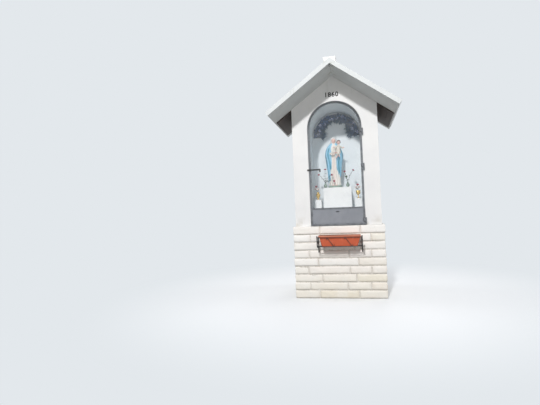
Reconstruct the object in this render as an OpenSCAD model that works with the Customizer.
// Wayside shrine: a gabled masonry shaft on a stone plinth, with a glazed niche and a flower trough.
// +Z is up, the front faces -Y, and the origin is the centre of the plinth's footprint on the ground.

/* [Shaft] */
// Width of the shaft across its front
shaft_w = 1100; // [1000:10:1300]
// Depth of the shaft from front to back
shaft_d = 900; // [860:10:1100]
// Height above the arch's springing where the side walls meet the roof
eaves_rise = 280; // [200:5:400]
// Thickness of the gable wall at the front
gable_t = 200; // [120:10:260]
// Thickness of the masonry over the crown of the vault
crown_t = 110; // [60:5:150]

/* [Plinth] */
// Height of the stone plinth, cap course included
plinth_h = 930; // [880:10:1000]
// How far the plinth stands out from the shaft
plinth_step = 40; // [20:5:80]
// Number of stone courses, cap course included
course_count = 9; // [7:1:11]
// Height of a mortar joint
joint_h = 9; // [5:1:15]
// Depth of a mortar joint behind the face of the stones
joint_depth = 12; // [5:1:25]

/* [Niche] */
// Clear width of the niche
niche_w = 700; // [600:10:760]
// Depth of the niche from the front of the shaft
niche_d = 680; // [640:10:720]
// Height of the niche's straight sides, from the plinth to the arch's springing
jamb_h = 1275; // [1100:5:1500]
// Height of the niche's floor above the plinth
floor_rise = 225; // [180:5:300]
// Thickness of the niche's floor slab
floor_t = 30; // [20:1:50]

/* [Roof] */
// Pitch of the roof in degrees
roof_pitch = 36; // [30:1:42]
// Thickness of the roof slabs
slab_t = 54; // [40:1:80]
// Overhang of the roof in front of the shaft
front_overhang = 478; // [300:1:520]
// Overhang of the roof behind the shaft
rear_overhang = 150; // [60:5:300]
// Level overhang of the roof beside the shaft, to the slab's lower corner
side_overhang = 225; // [150:5:300]
// Thickness of a course of the roof covering at its lower end
covering_t = 20; // [12:1:30]
// Thickness of a course of the roof covering at its upper end
covering_thin = 8; // [4:1:10]
// Length of a course of the roof covering that shows
course_show = 138; // [90:1:220]
// How far the covering stays behind the slab's front edge
covering_front = 70; // [10:1:120]
// How far the covering stays back from the slab's rear and lower edges
covering_margin = 10; // [0:1:40]
// Width of the ridge capping at its top
cap_w = 152; // [120:1:200]
// Width of the ridge capping at its foot
cap_foot_w = 126; // [100:1:130]
// Thickness of the ridge capping over the apex
cap_t = 8; // [5:1:20]
// Height of the ridge capping's flared sides
cap_h = 42; // [30:1:60]
// Thickness of the dark boards under the side eaves
board_t = 14; // [8:1:25]
// How far the eaves boards stay back from the slab's lower corner
board_margin = 22; // [5:1:60]

/* [Door] */
// Gap between the leaf and the niche all round
leaf_gap = 5; // [5:0.5:10]
// Face width of the leaf's angle frame
frame_face = 24; // [18:1:40]
// Depth of the leaf's angle frame
frame_depth = 30; // [24:1:40]
// Thickness of the frame's metal
frame_t = 5; // [3:0.5:8]
// Height of the crossbar's face
crossbar_h = 14; // [8:1:30]
// Height of the bottom rail's face
bottom_rail_h = 22; // [12:1:40]
// Thickness of the pane
glass_t = 6; // [4:1:10]
// Thickness of the sheet below the crossbar
sheet_t = 3; // [2:0.5:5]
// Length of the slot in the sheet
slot_w = 44; // [30:1:80]
// Height of the slot in the sheet
slot_h = 9; // [5:1:15]
// Depth of the slot below the top of the niche's floor
slot_drop = 44; // [35:1:80]

/* [Hinges] */
// Height of the lowest hinge's middle above the plinth
hinge_foot = 52; // [50:1:150]
// Height of the middle hinge's middle above the plinth
hinge_middle = 746; // [400:1:900]
// Depth of the top hinge's middle below the arch's springing
hinge_head = 79; // [60:1:200]
// Distance of the hinge pins outside the niche's right side
pin_out = 6; // [4:0.5:12]
// Distance of the hinge pins in front of the shaft
pin_forward = 16; // [14:0.5:25]
// Radius of the knuckles
knuckle_r = 9; // [8:0.5:12]
// Length of one knuckle
knuckle_l = 44; // [30:1:60]
// Radius of the hinge pins
pin_r = 5; // [3:0.25:6]
// Running clearance round the pins
pin_clearance = 0.08; // [0.05:0.01:0.1]

/* [Latch] */
// Height of the latch's spindle above the plinth
latch_rise = 740; // [450:5:950]
// Length of the lever's arm from the spindle
arm_l = 138; // [90:1:170]
// Length of the lever's tail from the spindle
tail_l = 38; // [25:1:60]
// Width of the lever's bar
lever_w = 18; // [8:1:20]
// Thickness of the lever's bar
lever_t = 6; // [4:0.5:10]
// Radius of the latch's round plate
plate_r = 11; // [9:0.5:12]
// Thickness of the latch's round plate
plate_t = 8; // [4:0.5:10]
// Radius of the latch's spindle
spindle_r = 4; // [3:0.25:5]
// Length of the drop at the end of the arm
drop_l = 26; // [15:1:40]

/* [Figure] */
// Height of the figure from its base to the top of the veil
figure_h = 690; // [500:5:760]
// Widest part of the figure across its mantle
figure_w = 262; // [200:2:320]
// Width of the base under the figure
figure_base_w = 190; // [150:2:240]
// Thickness of the base under the figure
figure_base_t = 28; // [10:1:40]
// Distance of the figure's middle behind the shaft's front
figure_back = 440; // [380:5:480]
// Distance of the figure's middle to the left of the niche's middle
figure_left = 36; // [0:1:60]

/* [Niche ornaments] */
// Width of the white block under the figure
pedestal_w = 380; // [300:5:420]
// Distance of that block's middle to the right of the figure's
pedestal_shift = 30; // [0:1:50]
// Depth of the white block under the figure
pedestal_d = 230; // [200:5:280]
// Height of the white block under the figure
pedestal_h = 290; // [220:2:320]
// Width left free beside each small white block, in all
block_free = 68; // [50:1:100]
// Height of the small white blocks
block_h = 130; // [80:1:160]
// Height of the gold vases
vase_h = 106; // [70:1:130]
// Largest radius of the gold vases
vase_r = 30; // [20:1:38]
// Height of the bud vases beside the figure
bud_vase_h = 72; // [50:1:90]
// Largest radius of the bud vases
bud_vase_r = 25; // [18:1:28]
// Gap between the left bud vase and the figure's base
bud_gap_left = 14; // [5:1:30]
// Gap between the right bud vase and the figure's base
bud_gap_right = 55; // [5:1:70]
// Height of the rose sprays above the foot of their vases
spray_h = 260; // [180:2:320]
// Height of the posies above the foot of their vases
posy_h = 178; // [150:2:220]
// Radius of a rose
bloom_r = 20; // [12:0.5:26]
// Radius of a flower stem
stem_r = 2; // [1.5:0.25:3]
// Gap between the garland and the niche's sides
garland_gap = 7; // [5:1:30]
// Thickness of the garland
garland_t = 150; // [100:5:150]
// Depth of the garland in front of the back wall
garland_depth = 70; // [50:5:90]
// Radius of the garland's blooms
garland_bloom_r = 20; // [12:1:28]

/* [Trough] */
// How far the trough hangs to the right of the middle
trough_right = 18; // [0:1:60]
// Length of the flower trough at its rim
trough_l = 520; // [400:2:600]
// Length of the flower trough at its foot
trough_foot_l = 430; // [360:2:560]
// Depth of the flower trough at its rim
trough_d = 172; // [140:2:220]
// Depth of the flower trough at its foot
trough_foot_d = 128; // [100:2:200]
// Height of the flower trough
trough_h = 138; // [110:2:180]
// Thickness of the trough's walls
trough_t = 5; // [3:0.5:8]
// Height of the trough's turned-out rim
rim_h = 16; // [8:1:20]
// Width of the trough's turned-out rim
rim_w = 9; // [5:0.5:14]
// Depth of the trough's rim below the top of the plinth
trough_drop = 110; // [90:2:180]
// Distance of the trough's rim from the plinth
trough_gap = 12; // [10:1:30]
// Thickness of the wrought-iron bar
bar_t = 6; // [4:0.5:10]
// Width of the wrought-iron bar
bar_w = 14; // [8:1:20]
// Gap between the trough's rim and the rail in front of it
rail_gap = 2; // [1:0.5:6]
// Gap between the trough's rim and the bracket on each side
bracket_gap = 8; // [2:1:20]
// Depth of the upper rail below the trough's rim
rim_drop = 26; // [15:1:40]
// Thickness of the flat scrolls in front of the trough
scroll_t = 5; // [3:0.5:8]
// Distance of each scroll from the middle
scroll_out = 111; // [60:1:160]
// Lean of the front scrolls from the level, in degrees
scroll_lean = 55; // [45:1:70]
// Lean of the scrolls inside the brackets from the upright, in degrees
side_lean = 66; // [60:1:75]

/* [Hidden] */
// Overrun of every cut past the face that it leaves
over = 1;
$fn = 96;
// Number of sides on blended shells
blend_fn = 28;

// Places that follow from the sizes above
spring_h = plinth_h + jamb_h;
eaves_h = spring_h + eaves_rise;
floor_h = plinth_h + floor_rise;
front_y = -shaft_d / 2;
back_y = shaft_d / 2;
niche_back_y = front_y + niche_d;
half_w = shaft_w / 2;
pitch_rise = tan(roof_pitch);
peak_h = eaves_h + half_w * pitch_rise;
apex_h = peak_h + slab_t / cos(roof_pitch);
roof_front_y = front_y - front_overhang;
roof_back_y = back_y + rear_overhang;
roof_half_w = half_w + side_overhang;
course_h = plinth_h / course_count;
plinth_front_y = front_y - plinth_step;

leaf_w = niche_w - 2 * leaf_gap;
leaf_bottom = plinth_h + leaf_gap;
glass_gap = 0.3;
glass_front_y = front_y + frame_t + glass_gap;
bead_w = 12;
bead_t = 10;
pane_w = leaf_w - 2 * frame_t - 2 * leaf_gap;

pin_x = niche_w / 2 + pin_out;
pin_y = front_y - pin_forward;
lug_t = 10;
lug_h = 24;
hinge_heights = [plinth_h + hinge_foot, plinth_h + hinge_middle, spring_h - hinge_head];
strap_l = 26;
strap_t = 6;
strap_h = 38;
thrust_gap = 0.3;

latch_x = -leaf_w / 2 + frame_face / 2;
latch_h = plinth_h + latch_rise;
latch_clearance = 0.08;
nut_t = 4;

figure_y = front_y + figure_back;
figure_base_share = 0.8;
block_w = (niche_w - pedestal_w) / 2 - block_free;
garland_r = niche_w / 2 - garland_gap - garland_t / 2;
posy_bloom_share = 0.75;

bed_gap = 0.3;
vase_floor_share = 0.6;

// Height of the roof's underside at a distance from the middle
function under_h(x) = eaves_h + (half_w - abs(x)) * pitch_rise;
// Height of the slabs' top at a distance from the middle
function top_h(x) = apex_h - abs(x) * pitch_rise;

// Extrudes an upright outline, drawn in X and Z, from y0 over a depth d towards the back
module upright(y0, d) {
    translate([0, y0 + d, 0]) rotate([90, 0, 0]) linear_extrude(d) children();
}

// Outline of an arched opening or leaf, from its foot to its round head
module arch_outline(w, foot) {
    translate([-w / 2, foot]) square([w, spring_h - foot]);
    translate([0, spring_h]) circle(d = w);
}

// Outline of the masonry over the springing, up to the roof
module gable_outline(foot) {
    polygon([[-half_w, foot], [half_w, foot], [half_w, eaves_h], [0, peak_h], [-half_w, eaves_h]]);
}

// Box from one corner by its size
module block(corner, size) {
    translate(corner) cube(size);
}

module plinth() {
    color("ivory") {
        for (i = [0 : course_count - 2])
            block([-half_w - plinth_step, plinth_front_y, i * course_h],
                  [shaft_w + 2 * plinth_step, shaft_d + 2 * plinth_step, course_h - joint_h]);
        block([-half_w - plinth_step + joint_depth, plinth_front_y + joint_depth, 0],
              [shaft_w + 2 * (plinth_step - joint_depth), shaft_d + 2 * (plinth_step - joint_depth),
               plinth_h - course_h]);
    }
}

module plinth_cap() {
    color("whitesmoke")
        block([-half_w - plinth_step, plinth_front_y, plinth_h - course_h],
              [shaft_w + 2 * plinth_step, shaft_d + 2 * plinth_step, course_h]);
}

module side_wall() {
    block([niche_w / 2, front_y, plinth_h], [half_w - niche_w / 2, niche_d, spring_h - plinth_h]);
}

module left_wall() {
    color("white") mirror([1, 0, 0]) side_wall();
}

module right_wall() {
    color("white") side_wall();
}

module back_wall() {
    color("white") upright(niche_back_y, shaft_d - niche_d) gable_outline(plinth_h);
}

module front_gable() {
    color("white") upright(front_y, gable_t) difference() {
        gable_outline(spring_h);
        arch_outline(niche_w, spring_h - over);
    }
}

module vault() {
    crown_h = spring_h + niche_w / 2 + crown_t;
    crown_half = half_w - (crown_h - eaves_h) / pitch_rise;
    color("white") upright(front_y + gable_t, niche_d - gable_t) difference() {
        polygon([[-half_w, spring_h], [half_w, spring_h], [half_w, eaves_h], [crown_half, crown_h],
                 [-crown_half, crown_h], [-half_w, eaves_h]]);
        arch_outline(niche_w, spring_h - over);
    }
}

module niche_floor() {
    color("gainsboro")
        block([-niche_w / 2, front_y + frame_depth + leaf_gap, floor_h - floor_t],
              [niche_w, niche_d - frame_depth - leaf_gap, floor_t]);
}

module roof_slab() {
    upright(roof_front_y, roof_back_y - roof_front_y)
        polygon([[0, peak_h], [roof_half_w, under_h(roof_half_w)],
                 [roof_half_w + slab_t * sin(roof_pitch),
                  under_h(roof_half_w) + slab_t * cos(roof_pitch)], [0, apex_h]]);
}

module roof_slab_left() {
    color("white") mirror([1, 0, 0]) roof_slab();
}

module roof_slab_right() {
    color("white") roof_slab();
}

// Point on a roof slope from its distance down the slope and its height off the slab
function on_slope(down, off) =
    [down * cos(roof_pitch) + off * sin(roof_pitch),
     apex_h - down * sin(roof_pitch) + off * cos(roof_pitch)];

// Stepped courses of the covering, each thin at its head and thick at its lower end
module roof_covering() {
    head = (cap_w / 2 + bed_gap) / cos(roof_pitch);
    foot = (roof_half_w / cos(roof_pitch)) + slab_t * tan(roof_pitch) - covering_margin;
    rows = round((foot - head) / course_show);
    show = (foot - head) / rows;
    steps = [for (i = [rows - 1 : -1 : 0]) each [
        on_slope(head + (i + 1) * show, covering_t), on_slope(head + i * show, covering_thin)]];
    upright(roof_front_y + covering_front,
            roof_back_y - roof_front_y - covering_front - covering_margin)
        polygon(concat([on_slope(head, bed_gap), on_slope(foot, bed_gap)], steps));
}

module roof_covering_left() {
    color("saddlebrown") mirror([1, 0, 0]) roof_covering();
}

module roof_covering_right() {
    color("saddlebrown") roof_covering();
}

module ridge_cap() {
    cap_top = apex_h + cap_t;
    seat = cap_foot_w / 2;
    color("white") upright(roof_front_y, roof_back_y - roof_front_y)
        polygon([[-cap_w / 2, cap_top], [-seat, cap_top - cap_h], [-seat, top_h(seat) + bed_gap],
                 [0, apex_h + bed_gap], [seat, top_h(seat) + bed_gap], [seat, cap_top - cap_h],
                 [cap_w / 2, cap_top]]);
}

module eave_boards() {
    outer = roof_half_w - board_margin;
    drop = board_t / cos(roof_pitch);
    upright(front_y, shaft_d)
        polygon([[half_w, eaves_h - drop], [outer, under_h(outer) - drop],
                 [outer, under_h(outer)], [half_w, eaves_h]]);
}

module eave_boards_left() {
    color("sienna") mirror([1, 0, 0]) eave_boards();
}

module eave_boards_right() {
    color("sienna") eave_boards();
}

module ridge_eye() {
    shank_r = 3;
    shank_l = 14;
    eye_r = 9;
    eye_inset = 22;
    top = peak_h - shank_r * pitch_rise;
    color("dimgray") translate([0, roof_front_y + eye_inset, top - shank_l]) {
        cylinder(r = shank_r, h = shank_l);
        translate([0, 0, -eye_r]) rotate([90, 0, 0]) rotate_extrude() translate([eye_r, 0])
            circle(r = shank_r);
    }
}

module hinge_pintles() {
    color("darkslategray") for (h = hinge_heights) translate([pin_x, pin_y, h]) {
        translate([0, 0, -knuckle_l]) cylinder(r = knuckle_r, h = knuckle_l);
        cylinder(r = pin_r, h = knuckle_l - over);
        translate([-lug_t / 2 + pin_r, 0, -knuckle_l / 2 - lug_h / 2])
            cube([lug_t, pin_forward, lug_h]);
    }
}

module hinge_knuckles() {
    edge = leaf_w / 2 - pin_x;
    color("slategray") for (h = hinge_heights) translate([pin_x, pin_y, h + thrust_gap])
        difference() {
            union() {
                cylinder(r = knuckle_r, h = knuckle_l);
                linear_extrude(strap_h)
                    polygon([[0, -knuckle_r / 2], [0, knuckle_r / 2], [edge + over, knuckle_r / 2],
                             [edge - over, pin_forward], [edge - strap_l, pin_forward],
                             [edge - strap_l, pin_forward - strap_t],
                             [edge - knuckle_r, -knuckle_r / 2]]);
            }
            translate([0, 0, -over]) cylinder(r = pin_r + pin_clearance, h = knuckle_l);
        }
}

module door_frame() {
    inner = leaf_w - 2 * frame_face;
    web = leaf_w - 2 * frame_t;
    color("dimgray") difference() {
        union() {
            upright(front_y, frame_t) difference() {
                arch_outline(leaf_w, leaf_bottom);
                arch_outline(inner, leaf_bottom + bottom_rail_h);
            }
            upright(front_y, frame_depth) difference() {
                arch_outline(leaf_w, leaf_bottom);
                arch_outline(web, leaf_bottom + frame_t);
            }
            block([-web / 2 - over, front_y, floor_h - crossbar_h / 2],
                  [web + 2 * over, frame_t, crossbar_h]);
        }
        translate([latch_x, front_y - over, latch_h]) rotate([-90, 0, 0])
            cylinder(r = spindle_r + latch_clearance, h = frame_t + 2 * over);
    }
}

module door_glass() {
    color("lightcyan", 0.4) upright(glass_front_y, glass_t) difference() {
        arch_outline(pane_w, floor_h + glass_gap);
        translate([-pane_w / 2 - over, latch_h - plate_r])
            square([frame_face - frame_t - leaf_gap + 2 * over, 2 * plate_r]);
    }
}

module glazing_bead() {
    bead_y = glass_front_y + glass_t;
    color("dimgray") difference() {
        upright(bead_y, bead_t) difference() {
            arch_outline(leaf_w - 2 * frame_t, floor_h + glass_gap);
            arch_outline(leaf_w - 2 * frame_t - 2 * bead_w, floor_h + glass_gap + bead_w);
        }
        block([-leaf_w / 2, bead_y - over, latch_h - plate_r],
              [frame_face, bead_t + 2 * over, 2 * plate_r]);
    }
}

module door_panel() {
    foot = leaf_bottom + frame_t + glass_gap;
    color("lightgray") upright(glass_front_y, sheet_t) difference() {
        translate([-pane_w / 2, foot]) square([pane_w, floor_h - foot]);
        translate([-slot_w / 2, floor_h - slot_drop - slot_h / 2]) square([slot_w, slot_h]);
    }
}

module latch_plate() {
    color("black") translate([latch_x, front_y, latch_h]) rotate([90, 0, 0]) difference() {
        cylinder(r = plate_r, h = plate_t);
        translate([0, 0, -over]) cylinder(r = spindle_r + latch_clearance, h = plate_t + 2 * over);
    }
}

module latch_lever() {
    end_r = lever_w / 2;
    nut_r = 1.5 * spindle_r;
    behind = plate_t + frame_t + 2 * thrust_gap;
    color("black") translate([latch_x, front_y - plate_t - thrust_gap, latch_h]) rotate([90, 0, 0]) {
        translate([0, 0, -behind]) cylinder(r = spindle_r, h = behind + over);
        translate([0, 0, -behind - nut_t]) cylinder(r = nut_r, h = nut_t);
        cylinder(r = plate_r, h = lever_t);
        translate([-tail_l + end_r, -lever_w / 2, 0])
            cube([arm_l + tail_l - 2 * end_r, lever_w, lever_t]);
        translate([-tail_l + end_r, 0, 0]) cylinder(r = end_r, h = lever_t + plate_t / 2);
        translate([arm_l - end_r, 0, 0]) cylinder(r = end_r, h = lever_t);
        translate([arm_l - lever_w, -drop_l, 0]) cube([lever_w, drop_l, lever_t]);
        translate([arm_l - end_r, -drop_l, 0]) cylinder(r = end_r, h = lever_t);
    }
}

module pedestal() {
    color("white")
        block([pedestal_shift - figure_left - pedestal_w / 2, figure_y - pedestal_d / 2, floor_h],
              [pedestal_w, pedestal_d, pedestal_h]);
}

module figure_base() {
    color("darkseagreen")
        translate([-figure_left, figure_y, floor_h + pedestal_h]) scale([1, figure_base_share, 1])
            cylinder(d = figure_base_w, h = figure_base_t);
}

// Level oval of the figure, from shares of its height and of its half width
module oval(shares) {
    translate([shares[1] * figure_w / 2, -shares[2] * figure_w / 2, shares[0] * figure_h])
        scale([shares[3] * figure_w / 2, shares[4] * figure_w / 2, 1])
            cylinder(r = 1, h = over, $fn = blend_fn);
}

// Soft form drawn through a row of ovals
module draped(rows) {
    for (i = [0 : len(rows) - 2]) hull() {
        oval(rows[i]);
        oval(rows[i + 1]);
    }
}

// Limb between two ends, each a share list of height, left-right, forward and radius
module limb(ends) {
    hull() for (end = ends)
        translate([end[1] * figure_w / 2, -end[2] * figure_w / 2, end[0] * figure_h])
            sphere(r = end[3] * figure_w / 2, $fn = blend_fn / 2);
}

// Round form such as a head, from shares of place, width and height
module ball(shares) {
    translate([shares[1] * figure_w / 2, -shares[2] * figure_w / 2, shares[0] * figure_h])
        scale([shares[3] * figure_w / 2, shares[3] * figure_w / 2, shares[4] * figure_h])
            sphere(r = 1, $fn = blend_fn);
}

// Each row is height, left-right, forward, half width and half depth
gown_shares = [
    [0, 0, 0, 0.66, 0.5], [0.05, 0, 0, 0.62, 0.48], [0.35, 0, 0, 0.56, 0.46],
    [0.6, 0, 0, 0.58, 0.46], [0.76, 0, 0, 0.56, 0.42], [0.83, 0, 0, 0.3, 0.32]
];
mantle_left_shares = [
    [0.07, -0.3, -0.1, 0.34, 0.4], [0.3, -0.42, -0.06, 0.42, 0.48],
    [0.58, -0.54, -0.04, 0.46, 0.54], [0.76, -0.44, -0.06, 0.36, 0.46],
    [0.84, -0.24, -0.06, 0.28, 0.34]
];
mantle_right_shares = [
    [0.2, 0.34, -0.1, 0.34, 0.4], [0.5, 0.46, -0.04, 0.5, 0.54],
    [0.66, 0.46, 0, 0.48, 0.54], [0.77, 0.36, -0.06, 0.36, 0.44],
    [0.84, 0.22, -0.06, 0.26, 0.32]
];
veil_shares = [
    [0.78, 0, -0.16, 0.5, 0.34], [0.86, 0, -0.14, 0.4, 0.36], [0.93, 0, -0.1, 0.36, 0.38],
    [0.98, 0, -0.06, 0.22, 0.24]
];

// Face, crown of the veil, and the child's head
head_shares = [[0.92, 0, 0.06, 0.27, 0.066], [0.955, 0, -0.04, 0.3, 0.045],
               [0.885, 0.56, 0.34, 0.21, 0.042]];
// The child's body, arms and legs, then the mother's left arm and her right arm in two parts
limb_shares = [
    [[0.84, 0.52, 0.34, 0.2], [0.7, 0.46, 0.44, 0.24]],
    [[0.82, 0.62, 0.44, 0.08], [0.77, 0.98, 0.6, 0.06]],
    [[0.82, 0.42, 0.5, 0.08], [0.78, 0.12, 0.7, 0.06]],
    [[0.7, 0.46, 0.5, 0.14], [0.6, 0.3, 0.66, 0.08]],
    [[0.72, 0.62, 0.16, 0.2], [0.65, 0.5, 0.62, 0.09]],
    [[0.74, -0.6, 0.06, 0.22], [0.62, -0.3, 0.54, 0.12]],
    [[0.62, -0.3, 0.54, 0.12], [0.63, 0.16, 0.66, 0.08]]
];

module figure() {
    color("lightskyblue")
        translate([-figure_left, figure_y, floor_h + pedestal_h + figure_base_t]) {
            draped(gown_shares);
            draped(mantle_left_shares);
            draped(mantle_right_shares);
            draped(veil_shares);
            for (shares = head_shares) ball(shares);
            for (ends = limb_shares) limb(ends);
        }
}

// Half ring with a flat back against the wall and a rounded front, set with round blooms
module garland() {
    half_t = garland_t / 2;
    core_d = garland_depth - garland_bloom_r;
    blooms = 2 * round(garland_r * PI / (6 * garland_bloom_r)) + 1;
    color("slateblue") translate([0, niche_back_y, spring_h]) rotate([90, 0, 0]) {
        rotate_extrude(angle = 180)
            polygon([for (p = [[-1, 0], [1, 0], [0.8, 0.6], [0.35, 1], [-0.35, 1], [-0.8, 0.6]])
                     [garland_r + p[0] * half_t, p[1] * core_d]]);
        for (i = [0 : blooms - 1])
            rotate(180 * (i + 0.5) / blooms)
                translate([garland_r + (i % 2 - 0.5) * half_t, 0, core_d])
                    sphere(r = garland_bloom_r, $fn = blend_fn);
    }
}

module block_left() {
    color("white")
        block([-niche_w / 2 + vase_r, figure_y - block_w - vase_r, floor_h],
              [block_w, block_w, block_h]);
}

module block_right() {
    color("white")
        block([niche_w / 2 - vase_r - block_w, figure_y - block_w - vase_r, floor_h],
              [block_w, block_w, block_h]);
}

// Turned vase from its foot, as shares of its largest radius and its height
module turned_vase(r, h, outline_shares) {
    rotate_extrude() polygon([for (p = outline_shares) [p[0] * r, p[1] * h]]);
}

urn_shares = [
    [0, 0], [0.62, 0], [0.62, 0.05], [0.32, 0.14], [0.34, 0.2], [0.78, 0.36], [1, 0.56],
    [0.94, 0.7], [0.5, 0.84], [0.46, 0.9], [0.72, 1], [0.62, 1], [0.36, 0.88], [0.4, 0.8],
    [0.7, 0.7], [0.6, vase_floor_share], [0, vase_floor_share]
];
goblet_shares = [
    [0, 0], [0.7, 0], [0.66, 0.05], [0.2, 0.14], [0.16, 0.34], [0.3, 0.4], [0.8, 0.52],
    [0.98, 0.72], [1, 1], [0.92, 1], [0.88, 0.74], [0.6, vase_floor_share],
    [0, vase_floor_share]
];
bud_shares = [
    [0, 0], [0.5, 0], [0.54, 0.04], [0.92, 0.28], [1, 0.42], [0.86, 0.6], [0.44, 0.8],
    [0.4, 0.88], [0.56, 1], [0.46, 1], [0.3, 0.88], [0.34, 0.8], [0.5, 0.7],
    [0.4, vase_floor_share], [0, vase_floor_share]
];

ornament_x = niche_w / 2 - vase_r - block_w / 2;
ornament_y = figure_y - block_w / 2 - vase_r;
left_urn = [-ornament_x, ornament_y, floor_h + block_h];
right_goblet = [ornament_x, ornament_y, floor_h + block_h];
left_bud = [-figure_left - figure_base_w / 2 - bud_gap_left - bud_vase_r, figure_y - bud_vase_r,
            floor_h + pedestal_h];
right_bud = [-figure_left + figure_base_w / 2 + bud_gap_right + bud_vase_r,
             figure_y - bud_vase_r, floor_h + pedestal_h];

module vase_left() {
    color("gold") translate(left_urn) turned_vase(vase_r, vase_h, urn_shares);
}

module vase_right() {
    color("gold") translate(right_goblet) turned_vase(vase_r, vase_h, goblet_shares);
}

module bud_vase_left() {
    color("darkseagreen") translate(left_bud) turned_vase(bud_vase_r, bud_vase_h, bud_shares);
}

module bud_vase_right() {
    color("darkseagreen") translate(right_bud) turned_vase(bud_vase_r, bud_vase_h, bud_shares);
}

// Straight stretch of stem between two places
module stem(from, to) {
    color("darkgreen") hull() for (end = [from, to])
        translate(end) sphere(r = stem_r, $fn = blend_fn / 2);
}

// Flowers that rise from a vase's floor through its mouth to blooms, placed as shares of h
module spray(h, vase, bloom_shares, r) {
    neck = [0, 0, vase + 2 * stem_r];
    stem([0, 0, vase_floor_share * vase + stem_r + thrust_gap], neck);
    for (p = bloom_shares) {
        stem(neck, p * h);
        color("crimson") translate(p * h) sphere(r = r, $fn = blend_fn);
    }
}

left_rose_shares = [[0.02, -0.1, 1], [-0.32, -0.12, 0.73], [0.38, -0.4, 0.67], [0.48, -0.36, 0.34]];
right_rose_shares = [[0.31, -0.1, 0.88], [-0.14, -0.16, 0.83], [-0.06, -0.2, 0.55]];
left_posy_shares = [[-0.2, -0.06, 1], [0.06, 0.04, 0.94]];
right_posy_shares = [[0.03, -0.06, 1], [-0.14, 0.02, 0.86], [0.15, 0.04, 0.84]];

module rose_spray_left() {
    translate(left_bud) spray(spray_h, bud_vase_h, left_rose_shares, bloom_r);
}

module rose_spray_right() {
    translate(right_bud) spray(spray_h, bud_vase_h, right_rose_shares, bloom_r);
}

module posy_left() {
    translate(left_urn) spray(posy_h, vase_h, left_posy_shares, bloom_r * posy_bloom_share);
}

module posy_right() {
    translate(right_goblet) spray(posy_h, vase_h, right_posy_shares, bloom_r);
}

trough_y = plinth_front_y - trough_gap - trough_d / 2;
trough_top = plinth_h - trough_drop;
trough_foot = trough_top - trough_h;

// Tapered form that shrinks inwards by a margin, from its foot to its top
module tapered(margin, foot, top) {
    hull() {
        translate([-trough_foot_l / 2 + margin, trough_y - trough_foot_d / 2 + margin, foot])
            cube([trough_foot_l - 2 * margin, trough_foot_d - 2 * margin, trough_t]);
        translate([-trough_l / 2 + rim_w + margin, trough_y - trough_d / 2 + rim_w + margin,
                   top - trough_t])
            cube([trough_l - 2 * (rim_w + margin), trough_d - 2 * (rim_w + margin), trough_t]);
    }
}

module planter() {
    color("coral") translate([trough_right, 0, 0]) difference() {
        union() {
            tapered(0, trough_foot, trough_top);
            translate([-trough_l / 2, trough_y - trough_d / 2, trough_top - rim_h])
                cube([trough_l, trough_d, rim_h]);
        }
        tapered(trough_t, trough_foot + trough_t, trough_top + trough_t + over);
    }
}

// Flat bar bent from straight lengths and arcs, each given as a length or radius and a turn
module bent_bar(steps, t, w, i = 0) {
    if (i < len(steps)) {
        reach = steps[i][0];
        turn = steps[i][1];
        side = sign(turn);
        if (turn == 0) {
            translate([0, -t / 2, 0]) cube([reach, t, w]);
            translate([reach, 0, 0]) bent_bar(steps, t, w, i + 1);
        } else {
            mirror([0, 1 - side, 0]) translate([0, reach, 0]) rotate(-90)
                rotate_extrude(angle = abs(turn)) translate([reach - t / 2, 0]) square([t, w]);
            translate([reach * sin(abs(turn)), side * reach * (1 - cos(turn)), 0]) rotate(turn)
                bent_bar(steps, t, w, i + 1);
        }
    }
}

bracket_x = trough_l / 2 + bar_w / 2 + bracket_gap;
rail_y = trough_y - trough_d / 2 - rail_gap - bar_t / 2;
arm_h = trough_foot - 1.5 * bar_t;
weld = 0.6;
upper_rail_h = trough_top - rim_drop;
lower_rail_h = trough_foot + bar_t / 2;

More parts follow.
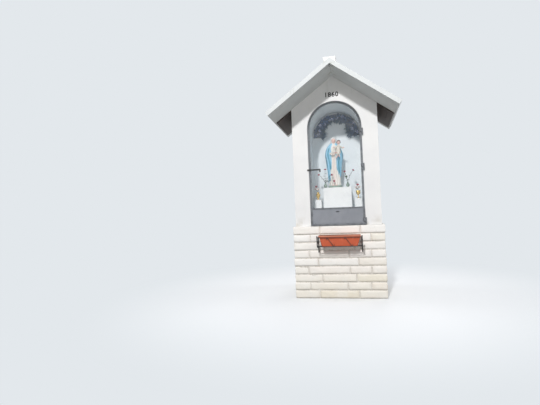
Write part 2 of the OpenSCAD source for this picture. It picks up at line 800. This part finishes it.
// Side bracket: a bar on the plinth, an arm under the trough that turns up and curls, a brace,
// and a scroll welded between the bar and the arm's upright end
module bracket() {
    arm_l = plinth_front_y - rail_y;
    bend_r = 2 * bar_w;
    curl_r = bar_w;
    brace_r = trough_foot_d / 2;
    rise = upper_rail_h + bar_t - arm_h - bend_r;
    back_foot = arm_h - brace_r - bar_w;
    translate([bracket_x - bar_w / 2, plinth_front_y - bar_t, back_foot])
        cube([bar_w, bar_t, upper_rail_h - back_foot]);
    translate([bracket_x + bar_w / 2, plinth_front_y, arm_h]) rotate([90, 0, -90]) {
        translate([bar_t / 2, 0, 0])
            bent_bar([[arm_l - bend_r - bar_t / 2, 0], [bend_r, 90], [rise, 0], [curl_r, -200]],
                     bar_t, bar_w);
        translate([bar_t / 2, -brace_r, 0]) rotate(90) bent_bar([[brace_r, -90]], bar_t, bar_w);
        translate([(arm_l + bar_t / 2) / 2, (upper_rail_h - arm_h) / 2, scroll_t / 2]) rotate(90)
            s_scroll(arm_l - 1.5 * bar_t + 2 * weld, side_lean, curl_r, bar_w - scroll_t);
    }
}

module bracket_left() {
    color("black") translate([trough_right, 0, 0]) mirror([1, 0, 0]) bracket();
}

module bracket_right() {
    color("black") translate([trough_right, 0, 0]) bracket();
}

module planter_rail() {
    rail_l = 2 * bracket_x - bar_w;
    color("black") translate([trough_right, 0, 0]) {
        for (h = [upper_rail_h, lower_rail_h])
            block([-rail_l / 2, rail_y - bar_t / 2, h - bar_t / 2], [rail_l, bar_t, bar_t]);
        for (side = [-1, 1])
            block([-rail_l / 2 - bar_w, trough_y + side * trough_foot_d / 3 - bar_w / 2,
                   trough_foot - bar_t], [rail_l + 2 * bar_w, bar_w, bar_t]);
    }
}

// S-shaped scroll of flat bar that spans a height, leaning from the level by an angle
module s_scroll(span, lean, hook_r, w) {
    run = (span - scroll_t - 2 * hook_r * (1 - cos(lean))) / sin(lean);
    rotate(-lean) for (half = [0, 180])
        rotate(half) bent_bar([[run / 2, 0], [hook_r, 200]], scroll_t, w);
}

// Scroll between the upper and the lower rail
module front_scroll() {
    translate([0, rail_y + bar_t / 2, (upper_rail_h + lower_rail_h) / 2]) rotate([90, 0, 0])
        s_scroll(upper_rail_h - lower_rail_h - bar_t, scroll_lean, 2 * scroll_t, bar_t);
}

module scroll_left() {
    color("black") translate([trough_right - scroll_out, 0, 0]) front_scroll();
}

module scroll_right() {
    color("black") translate([trough_right + scroll_out, 0, 0]) front_scroll();
}

plinth();
plinth_cap();
left_wall();
right_wall();
back_wall();
front_gable();
vault();
niche_floor();
roof_slab_left();
roof_slab_right();
roof_covering_left();
roof_covering_right();
ridge_cap();
eave_boards_left();
eave_boards_right();
ridge_eye();
hinge_pintles();
hinge_knuckles();
door_frame();
door_glass();
glazing_bead();
door_panel();
latch_plate();
latch_lever();
pedestal();
figure_base();
figure();
garland();
block_left();
block_right();
vase_left();
vase_right();
bud_vase_left();
bud_vase_right();
rose_spray_left();
rose_spray_right();
posy_left();
posy_right();
planter();
bracket_left();
bracket_right();
planter_rail();
scroll_left();
scroll_right();
